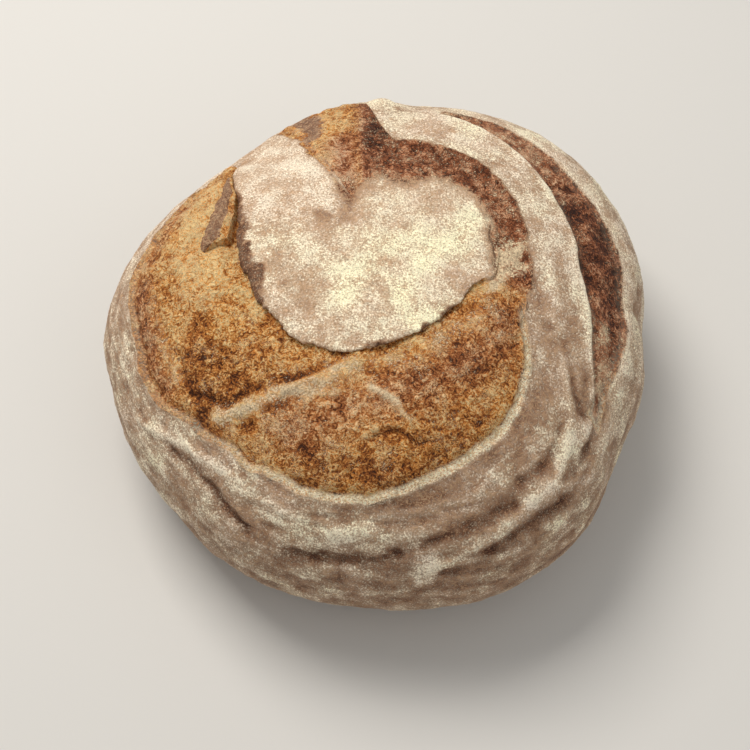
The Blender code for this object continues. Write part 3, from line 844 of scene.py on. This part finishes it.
# The proud term makes the skin paler on crests and darker in hollows: painted light and painted
# shade.
tan_and_shade = tan_and_shade + 0.10 * patchy + 0.10 * blisters - 0.3 * proud_for_flour_and_shade
tan_and_shade = np.clip(tan_and_shade + 0.12 * smooth((ring - 60.0) / 30.0) * is_rim, 0.0, 1.0)
yellow = np.clip(0.30 + 1.7 * dabs(THICK_DUST[:3]) + 0.3 * patchy - 0.1 * is_rim, 0.0, 1.0)
whiter = 0.8 * smooth((bearings - 100.0) / 15.0) * smooth((190.0 - bearings) / 30.0)
yellow = yellow * (1.0 - whiter)
print("tan averages", round(float(tan_and_shade.mean()), 2), "and yellow", round(float(yellow.mean()), 2))

# %% Fine cracks and the light fringe of the lip
CRACKS = (
    CRACK_ARC,
    ((191, 42.0), (190, 41.1), (190, 39.7), (189.8, 37.9)),
    ((231, 27.6), (234, 29.9), (235, 31.7)),
    ((268.6, 56.4), (269.8, 57.6), (271.4, 56.5)),
    ((229.2, 59.5), (231.5, 59.3), (234.5, 58.6)),
    ((109, 33.5), (105, 35.5), (101, 37.0)),
    ((212, 50.0), (216, 51.5), (221, 52.6)),
    ((344, 27.0), (356, 26.4), (8, 25.0)),
    ((271.2, 86.9), (271.8, 86.9)),
)
FRINGE = (
    (20, 0.1), (120, 0.0), (190, 0.35), (215, 0.25), (240, 0.9), (264, 1.5), (280, 2.2), (300, 2.4),
    (318, 1.9), (328, 1.0), (336, 0.3), (350, 0.1),
)  # fmt: skip
crack = np.clip(np.minimum.reduce([near_line(spots, line) for line in CRACKS]), 0.0, 6.0)
fringe = line_at(FRINGE, bearing, 8.0) * smooth((ring - lid_edge - 8.0) / 4.0)
print(round(float((crack < 1.0).sum())), "points lie on a crack")

# %% The loaf
MAPS = {
    "torn_side": torn_side,
    "dust": dust,
    "specks": specks,
    "bake_and_shade": bake_and_shade,
    "ruddy": ruddy,
    "tan_and_shade": tan_and_shade,
    "yellow": yellow,
    "crack": crack,
    "fringe": fringe + 0.0 * ring,
}
loaf = net_object("loaf_crust", places, top_place, np.zeros(3), MAPS)
corners = sum(len(face.vertices) - 2 for face in loaf.data.polygons)
print(len(loaf.data.vertices), "points,", corners, "triangles,", len(MAPS), "maps")

# %% [markdown]
# ## The torn strip
# At the lid's left corner a scrap of crust stands up: brown skin outside, golden crumb
# inside. It is a bar whose section has a foot, a crest and the foot of its inner face, and
# whose back is buried in the loaf. A tube is spun as before and each of its rings becomes
# one section, drawn between five given ones, with noise that frays the crest.

# %% Sections of the strip
STRIP = (
    ((142, 48.5, -2.0), (141, 46.0, 2.4), (141, 44.0, 2.4)),
    ((153, 41.5, -1.5), (152, 35.8, 3.8), (153, 33.8, 1.6)),
    ((161, 39.9, -1.0), (164, 32.6, 4.4), (164, 30.0, 1.6)),
    ((171, 38.2, -0.8), (176, 32.8, 4.0), (177, 29.0, 1.2)),
    ((180, 36.8, 0.2), (182, 35.2, 2.0), (179, 32.5, 1.2)),
)
STRIP_BACK = 7.0
STRIP_ROWS = 60
STRIP_STEPS = 64
share = np.linspace(0.0, 1.0, STRIP_ROWS)
given = np.linspace(0.0, 1.0, len(STRIP))
strip = np.array(STRIP, float).reshape(len(STRIP), 9)
drawn = np.stack([np.interp(share, given, column) for column in strip.T], -1)
drawn = drawn.reshape(STRIP_ROWS, 3, 3)
drawn[:, 1, 2] += 0.7 * layered(np.stack([share * 22.0, 0.0 * share, 0.0 * share], -1), 2)
on_skin = skin(drawn[..., 1], drawn[..., 0])
away = outward(on_skin)
foot, crest, face = np.moveaxis(on_skin + away * drawn[..., 2:], 1, 0)
inside = STRIP_BACK * away[:, 1]
outline = np.stack([foot, crest, face, face - inside, foot - inside, foot])
print("the strip is", round(float(np.linalg.norm(np.diff(crest, axis=0), axis=1).sum())), "mm long")

# %% The strip
CORNERS = (0.0, 0.4, 0.66, 0.8, 0.9, 1.0)
turn = np.arange(STRIP_STEPS) / STRIP_STEPS
weights = np.array([np.interp(turn, CORNERS, np.eye(6)[k]) for k in range(6)])
strip_places = np.einsum("ks,krc->rsc", weights, outline)
middle = strip_places.mean(axis=1, keepdims=True)
open_out = 1.0 - 0.85 * np.abs(np.linspace(-1.0, 1.0, STRIP_ROWS)) ** 10
strip_places = middle + (strip_places - middle) * open_out[:, None, None]
fray = layered(strip_places / 3.0, 3, ridged=True)
strip_places = strip_places + 0.45 * fray[..., None] * away[:, 1][:, None, :]
outer_face = smooth((0.56 - turn) / 0.06) * smooth((turn + 0.02) / 0.02)
plain = np.zeros((STRIP_ROWS, STRIP_STEPS))
STRIP_MAPS = {
    "torn_side": plain + FAR - 2.0 * FAR * outer_face,
    "dust": plain - 0.12,
    "specks": plain + 0.05,
    "bake_and_shade": plain + 0.30,
    "ruddy": plain + 0.15,
    "tan_and_shade": plain + 0.36,
    "yellow": plain + 0.2,
    "crack": plain + 6.0,
    "fringe": plain,
}
scrap = net_object("torn_strip", strip_places, middle[0, 0], middle[-1, 0], STRIP_MAPS)
print("the strip has", len(scrap.data.polygons), "faces")

# %% [markdown]
# ## Finishes
# Baked wheat crust is dull and a little waxy: rough, with no metal in it, and with the
# index of refraction of dry starch, about 1.5. Flour on it is quite matt.
# The colours are sRGB hex values, turned linear by one function.

# %% Helpers for colours and nodes
def linear(hex_colour):
    """An sRGB hex colour as linear red, green, blue and alpha."""
    parts = [int(hex_colour[i : i + 2], 16) / 255.0 for i in (1, 3, 5)]
    return (*[c / 12.92 if c <= 0.04045 else ((c + 0.055) / 1.055) ** 2.4 for c in parts], 1.0)


def add(tree, kind, inputs=None, **settings):
    """Adds a node, sets its settings, and fills or links its inputs."""
    node = tree.nodes.new(kind)
    for name, value in settings.items():
        setattr(node, name, value)
    for name, value in (inputs or {}).items():
        if isinstance(value, bpy.types.NodeSocket):
            tree.links.new(value, node.inputs[name])
        else:
            node.inputs[name].default_value = value
    return node


def per_mm(size):
    """The noise scale whose lumps are that many mm across."""
    return 1.0 / (size * MM)


print("gold crust in linear light:", [round(c, 3) for c in linear("#c78f55")])

# %% [markdown]
# ### Baked crust dusted with flour
# One material covers the loaf, because flour, torn crust and brown skin run into each
# other. Five noises, from patches of a centimetre to grains of under a millimetre, are
# made once and shared, so that a fleck that is lighter also stands a little higher.
# First come the noises and the maps, each noise shifted to swing about zero.

# %% Noises and maps of the material
GRAINS = (
    ("patch", 8.0, 3.0, 0.4),
    ("fleck", 2.4, 4.0, 1.6),
    ("grain", 0.8, 3.0, 0.2),
    ("thread", 3.0, 1.0, 2.0),
    ("strand", 6.0, 2.0, 2.5),
)
NOISE_ROUGHNESS = 0.65
finish = bpy.data.materials.new("baked_wheat_crust_with_flour")
finish.use_nodes = True
tree = finish.node_tree
shader = tree.nodes["Principled BSDF"]
where = add(tree, "ShaderNodeTexCoord").outputs["Object"]
read = {name: add(tree, "ShaderNodeAttribute", attribute_name=name).outputs["Fac"] for name in MAPS}
noise = {}
for name, size, detail, curl in GRAINS:
    inputs = {"Vector": where, "Scale": per_mm(size), "Detail": detail, "Distortion": curl}
    wave = add(tree, "ShaderNodeTexNoise", inputs | {"Roughness": NOISE_ROUGHNESS}).outputs["Fac"]
    noise[name] = add(tree, "ShaderNodeMath", {0: wave, 1: 0.5}, operation="SUBTRACT").outputs[0]
print("the finish reads", len(read), "maps and", len(noise), "noises")

# %% [markdown]
# The maps change over centimetres, but real crust changes from one millimetre to the next.
# So most maps get a swing of the noises added: the torn border and the cracks fray, bake
# and tan turn mottled, and the flour breaks up into clumps and specks.

# %% Maps with grain
SWINGS = {
    "torn_side": {"fleck": 5.0, "grain": 5.0},
    "bake_and_shade": {"fleck": 2.7, "grain": 1.9},
    "tan_and_shade": {"fleck": 3.0, "grain": 3.4},
    "dust": {"patch": 1.0, "fleck": 1.8, "grain": 2.3},
    "specks": {"fleck": 2.4, "grain": 2.2, "patch": 1.8},
    "crack": {"fleck": 2.0},
}
grainy = {}
for name, swings in SWINGS.items():
    grainy[name] = read[name]
    for wave, swing in swings.items():
        inputs = {0: noise[wave], 1: swing, 2: grainy[name]}
        grainy[name] = add(tree, "ShaderNodeMath", inputs, operation="MULTIPLY_ADD").outputs[0]
print("the torn border frays by up to", 0.3 * sum(SWINGS["torn_side"].values()), "mm")

# %% [markdown]
# The torn border is cut at zero distance. Just inside the lip the crust is thin and stays
# light. The map `fringe` says where, and grains break that band up, as scraps tore off it.

# %% Torn or skin
LIP_MIDDLE = 2.0
LIP_REACH = 2.8
SCRAP_GRAIN = 1.4
cut = {"Value": grainy["torn_side"], "From Min": -0.3, "From Max": 0.3}
is_torn = add(tree, "ShaderNodeMapRange", cut, interpolation_type="SMOOTHSTEP").outputs[0]
from_lip = {0: grainy["torn_side"], 1: LIP_MIDDLE}
from_lip = add(tree, "ShaderNodeMath", from_lip, operation="SUBTRACT").outputs[0]
from_lip = add(tree, "ShaderNodeMath", {0: from_lip}, operation="ABSOLUTE").outputs[0]
line = {"Value": from_lip, "From Max": LIP_REACH, "To Min": 1.0, "To Max": 0.0}
line = add(tree, "ShaderNodeMapRange", line).outputs[0]
light_lip = {0: line, 1: read["fringe"]}
light_lip = add(tree, "ShaderNodeMath", light_lip, operation="MULTIPLY", use_clamp=True).outputs[0]
scraps = {0: noise["grain"], 1: SCRAP_GRAIN, 2: noise["fleck"]}
scraps = add(tree, "ShaderNodeMath", scraps, operation="MULTIPLY_ADD").outputs[0]
scraps = {"Value": scraps, "From Min": -0.12, "From Max": 0.06, "To Min": 0.3}
scraps = add(tree, "ShaderNodeMapRange", scraps).outputs[0]
light_lip = {0: light_lip, 1: scraps}
light_lip = add(tree, "ShaderNodeMath", light_lip, operation="MULTIPLY").outputs[0]
print("the light lip is", 2.0 * LIP_REACH, "mm wide at most")

# %% [markdown]
# The torn crust's colour follows its bake, together with the painted shade and light in
# that map, through five colours from cream to dark brown, once in gold and once in a
# redder brown, and `ruddy` mixes the two. Thin light threads, where a noise crosses its
# middle, are the stretched strands of the torn dough. They show only in the patches where
# the strands stayed whole.

# %% Colour of the torn crust
GOLDEN = ("#ffdc9e", "#f0aa56", "#c17632", "#854616", "#40200c")
REDDISH = ("#f9cca4", "#d29066", "#a4613c", "#6e3a20", "#361a0f")
STRAND_WIDTHS = {"thread": 0.07, "strand": 0.04}
STRAND_LIGHT = -0.6
strands = []
for name, width in STRAND_WIDTHS.items():
    across = add(tree, "ShaderNodeMath", {0: noise[name]}, operation="ABSOLUTE").outputs[0]
    line = {"Value": across, "From Max": width, "To Min": 1.0, "To Max": 0.0}
    strands.append(add(tree, "ShaderNodeMapRange", line).outputs[0])
strand = add(tree, "ShaderNodeMath", {0: strands[0], 1: strands[1]}, operation="MAXIMUM").outputs[0]
whole = {"Value": noise["patch"], "From Min": -0.06, "From Max": 0.06}
whole = add(tree, "ShaderNodeMapRange", whole).outputs[0]
strand = add(tree, "ShaderNodeMath", {0: strand, 1: whole}, operation="MULTIPLY").outputs[0]
bake_shade_and_strands = {0: strand, 1: STRAND_LIGHT, 2: grainy["bake_and_shade"]}
bake_shade_and_strands = add(tree, "ShaderNodeMath", bake_shade_and_strands, operation="MULTIPLY_ADD").outputs[0]
ramps = []
for colours in (GOLDEN, REDDISH):
    ramp = add(tree, "ShaderNodeValToRGB", {"Fac": bake_shade_and_strands})
    ramp.color_ramp.elements[0].color = linear(colours[0])
    ramp.color_ramp.elements[1].color = linear(colours[-1])
    for place, colour in zip((0.25, 0.5, 0.75), colours[1:-1]):
        ramp.color_ramp.elements.new(place).color = linear(colour)
    ramps.append(ramp.outputs["Color"])
shades = {0: read["ruddy"], 6: ramps[0], 7: ramps[1]}
torn_colour = add(tree, "ShaderNodeMix", shades, data_type="RGBA").outputs[2]
print("torn crust has", len(GOLDEN) + len(REDDISH), "colours")

# %% [markdown]
# The skin under the flour is a duller, redder brown, darker where the map of its tan says so, and
# that map also holds painted shade in the folds and hollows.
# A crack is a thin dark line, again cut from a distance in mm.

# %% Colour of the skin, and cracks
SKIN = ("#c9a683", "#8f6448", "#5f3a26", "#371b0e")
LIGHT_LIP = "#fff4d6"
CRACK_WIDTH = 0.55
CRACK_SHARE = 0.75
skin_ramp = add(tree, "ShaderNodeValToRGB", {"Fac": grainy["tan_and_shade"]})
skin_ramp.color_ramp.elements[0].color = linear(SKIN[0])
skin_ramp.color_ramp.elements[1].color = linear(SKIN[-1])
for place, colour in zip((0.35, 0.7), SKIN[1:-1]):
    skin_ramp.color_ramp.elements.new(place).color = linear(colour)
shades = {0: is_torn, 6: skin_ramp.outputs["Color"], 7: torn_colour}
crust_colour = add(tree, "ShaderNodeMix", shades, data_type="RGBA").outputs[2]
shades = {0: light_lip, 6: crust_colour, 7: linear(LIGHT_LIP)}
crust_colour = add(tree, "ShaderNodeMix", shades, data_type="RGBA").outputs[2]
narrow = {"From Min": 0.0, "From Max": CRACK_WIDTH, "To Min": CRACK_SHARE, "To Max": 0.0}
in_crack = add(tree, "ShaderNodeMapRange", narrow | {"Value": grainy["crack"]}).outputs[0]
print("skin has", len(SKIN), "browns")

# %% [markdown]
# Flour on the skin is a film that noise thins and thickens, and it hides the skin best where
# much of it lies, which `thick` says. On the torn crust it is only specks, so its noise is
# cut harder there.

# %% Cover of flour
film = add(tree, "ShaderNodeClamp", {"Value": grainy["dust"]}).outputs[0]
thick = {"Value": read["dust"], "From Min": 0.2, "From Max": 0.7, "To Min": 0.78, "To Max": 1.0}
thick = add(tree, "ShaderNodeMapRange", thick).outputs[0]
film = add(tree, "ShaderNodeMath", {0: film, 1: thick}, operation="MULTIPLY").outputs[0]
cut = {"Value": grainy["specks"], "From Min": 0.40, "From Max": 1.05, "To Max": 0.9}
speck = add(tree, "ShaderNodeMapRange", cut, interpolation_type="SMOOTHSTEP").outputs[0]
cover = add(tree, "ShaderNodeMix", {0: is_torn, 2: film, 3: speck}).outputs[0]
print("the cover takes up", len(tree.nodes), "nodes so far")

# %% [markdown]
# Thick flour is yellower than plain flour. The crust's warmth comes through a thin film of
# it, so where flour covers little its colour is a warm tan, not white. The layers are then
# mixed from the bottom up: crust, flour, cracks. Last, every grain of the surface is shaded
# lighter or darker, because grains this small are finer than the mesh can show.

# %% Base colour
PLAIN_FLOUR = "#f4e4cf"
YELLOW_FLOUR = "#fffad4"
FLOUR_ON_TORN = "#ffe9c2"
THIN_FLOUR = "#dab592"
CRACK_BROWN = "#3d2112"
GRAIN_SHADE = 2.0
flour = linear(PLAIN_FLOUR)
for factor, colour in ((read["yellow"], YELLOW_FLOUR), (is_torn, FLOUR_ON_TORN)):
    shades = {0: factor, 6: flour, 7: linear(colour)}
    flour = add(tree, "ShaderNodeMix", shades, data_type="RGBA").outputs[2]
shades = {0: cover, 6: linear(THIN_FLOUR), 7: flour}
flour = add(tree, "ShaderNodeMix", shades, data_type="RGBA").outputs[2]
shown = crust_colour
for factor, colour in ((cover, flour), (in_crack, linear(CRACK_BROWN))):
    shades = {0: factor, 6: shown, 7: colour}
    shown = add(tree, "ShaderNodeMix", shades, data_type="RGBA").outputs[2]
shade = {0: noise["grain"], 1: GRAIN_SHADE, 2: 1.0}
shade = add(tree, "ShaderNodeMath", shade, operation="MULTIPLY_ADD").outputs[0]
shown = add(tree, "ShaderNodeVectorMath", {0: shown, "Scale": shade}, operation="SCALE").outputs[0]
tree.links.new(shown, shader.inputs["Base Color"])
print("base colour comes from", len(tree.nodes), "nodes so far")

# %% [markdown]
# Roughness rises with the flour. The bump takes the same flecks, grains and threads,
# which stand about half a millimetre high on the torn crust and far less on the skin.

# %% Roughness and bump
BARE_ROUGHNESS = 0.62
FLOUR_ROUGHNESS = 0.95
STARCH_IOR = 1.5
WAXY = 0.24
BUMP_HEIGHT = 1.2
CRACK_HEIGHT = -0.6
matt = {"Value": cover, "To Min": BARE_ROUGHNESS, "To Max": FLOUR_ROUGHNESS}
tree.links.new(add(tree, "ShaderNodeMapRange", matt).outputs[0], shader.inputs["Roughness"])
shader.inputs["IOR"].default_value = STARCH_IOR
shader.inputs["Specular IOR Level"].default_value = WAXY
depth = 0.0
for source, height in ((noise["fleck"], -1.2), (noise["grain"], -0.6), (strand, 0.14)):
    inputs = {0: source, 1: height, 2: depth}
    depth = add(tree, "ShaderNodeMath", inputs, operation="MULTIPLY_ADD").outputs[0]
amount = {"Value": is_torn, "To Min": 0.55, "To Max": 1.5}
amount = add(tree, "ShaderNodeMapRange", amount).outputs[0]
depth = add(tree, "ShaderNodeMath", {0: depth, 1: amount}, operation="MULTIPLY").outputs[0]
depth = {0: in_crack, 1: CRACK_HEIGHT, 2: depth}
depth = add(tree, "ShaderNodeMath", depth, operation="MULTIPLY_ADD").outputs[0]
bump = {"Height": depth, "Distance": BUMP_HEIGHT * MM, "Strength": 1.0}
bump = add(tree, "ShaderNodeBump", bump)
tree.links.new(bump.outputs["Normal"], shader.inputs["Normal"])
for piece in (loaf, scrap):
    piece.data.materials.append(finish)
    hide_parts("loaf")
    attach(piece, "root")
print(finish.name, "has", len(tree.nodes), "nodes")

# %% [markdown]
# ## Camera, light and floor
# The loaf is seen from the front and well above, so its lid faces the lens. A long lens
# from 72 cm keeps its outline calm. One large soft light above and behind the left
# shoulder models the relief, and a pale surround fills the shadows.

# %% Camera
CAMERA_HEIGHT_ANGLE = 60.0
CAMERA_DISTANCE = 720.0
CAMERA_PIVOT = (0.0, 0.0, 50.0)
CAMERA_AIM = (0.0, -14.7, 41.5)
FOCAL_LENGTH = 74.2
SENSOR_WIDTH = 36.0

climb = math.radians(CAMERA_HEIGHT_ANGLE)
stand = Vector(CAMERA_PIVOT) + CAMERA_DISTANCE * Vector((0.0, -math.cos(climb), math.sin(climb)))
lens = bpy.data.cameras.new("camera")
lens.lens = FOCAL_LENGTH
lens.sensor_width = SENSOR_WIDTH
lens.clip_start = 0.01
camera = bpy.data.objects.new("camera", lens)
camera.location = stand * MM
camera.rotation_euler = (Vector(CAMERA_AIM) - stand).to_track_quat("-Z", "Y").to_euler()
bpy.context.scene.collection.objects.link(camera)
bpy.context.scene.camera = camera
print("camera at", [round(v) for v in stand], "mm")

# %% Light
KEY_POWER = 16.0
FILL_POWER = 3.0
SURROUND_STRENGTH = 0.43


def soft_light(name, place, aim, size, power):
    """A square soft light that faces a point; sizes in metres, power in watts."""
    light = bpy.data.lights.new(name, "AREA")
    light.size = size
    light.energy = power
    light.color = linear("#fff9f1")[:3]
    holder = bpy.data.objects.new(name, light)
    holder.location = place
    holder.rotation_euler = (Vector(aim) - Vector(place)).to_track_quat("-Z", "Y").to_euler()
    bpy.context.scene.collection.objects.link(holder)


soft_light("key", (-0.45, 0.55, 1.25), (0.0, 0.0, 0.06), 0.7, KEY_POWER)
soft_light("fill", (0.9, -0.8, 1.1), (0.0, 0.0, 0.05), 1.2, FILL_POWER)

surround = bpy.data.worlds.new("pale_surround")
surround.use_nodes = True
backdrop = surround.node_tree.nodes["Background"]
backdrop.inputs["Color"].default_value = linear("#f1f0ee")
backdrop.inputs["Strength"].default_value = SURROUND_STRENGTH
bpy.context.scene.world = surround
bpy.context.scene.view_settings.view_transform = "Standard"
print("the key light has", round(KEY_POWER / FILL_POWER, 1), "times the power of the fill")

# %% Floor
FLOOR_HALF = 8.0
ground = bmesh.new()
bmesh.ops.create_grid(ground, x_segments=1, y_segments=1, size=FLOOR_HALF)
floor = finished("floor", ground)
floor_finish = bpy.data.materials.new("pale_matt_board")
floor_finish.use_nodes = True
floor_shader = floor_finish.node_tree.nodes["Principled BSDF"]
floor_shader.inputs["Base Color"].default_value = linear("#d9d8d5")
floor_shader.inputs["Roughness"].default_value = 0.9
floor.data.materials.append(floor_finish)
print("the floor is", 2.0 * FLOOR_HALF, "m wide")
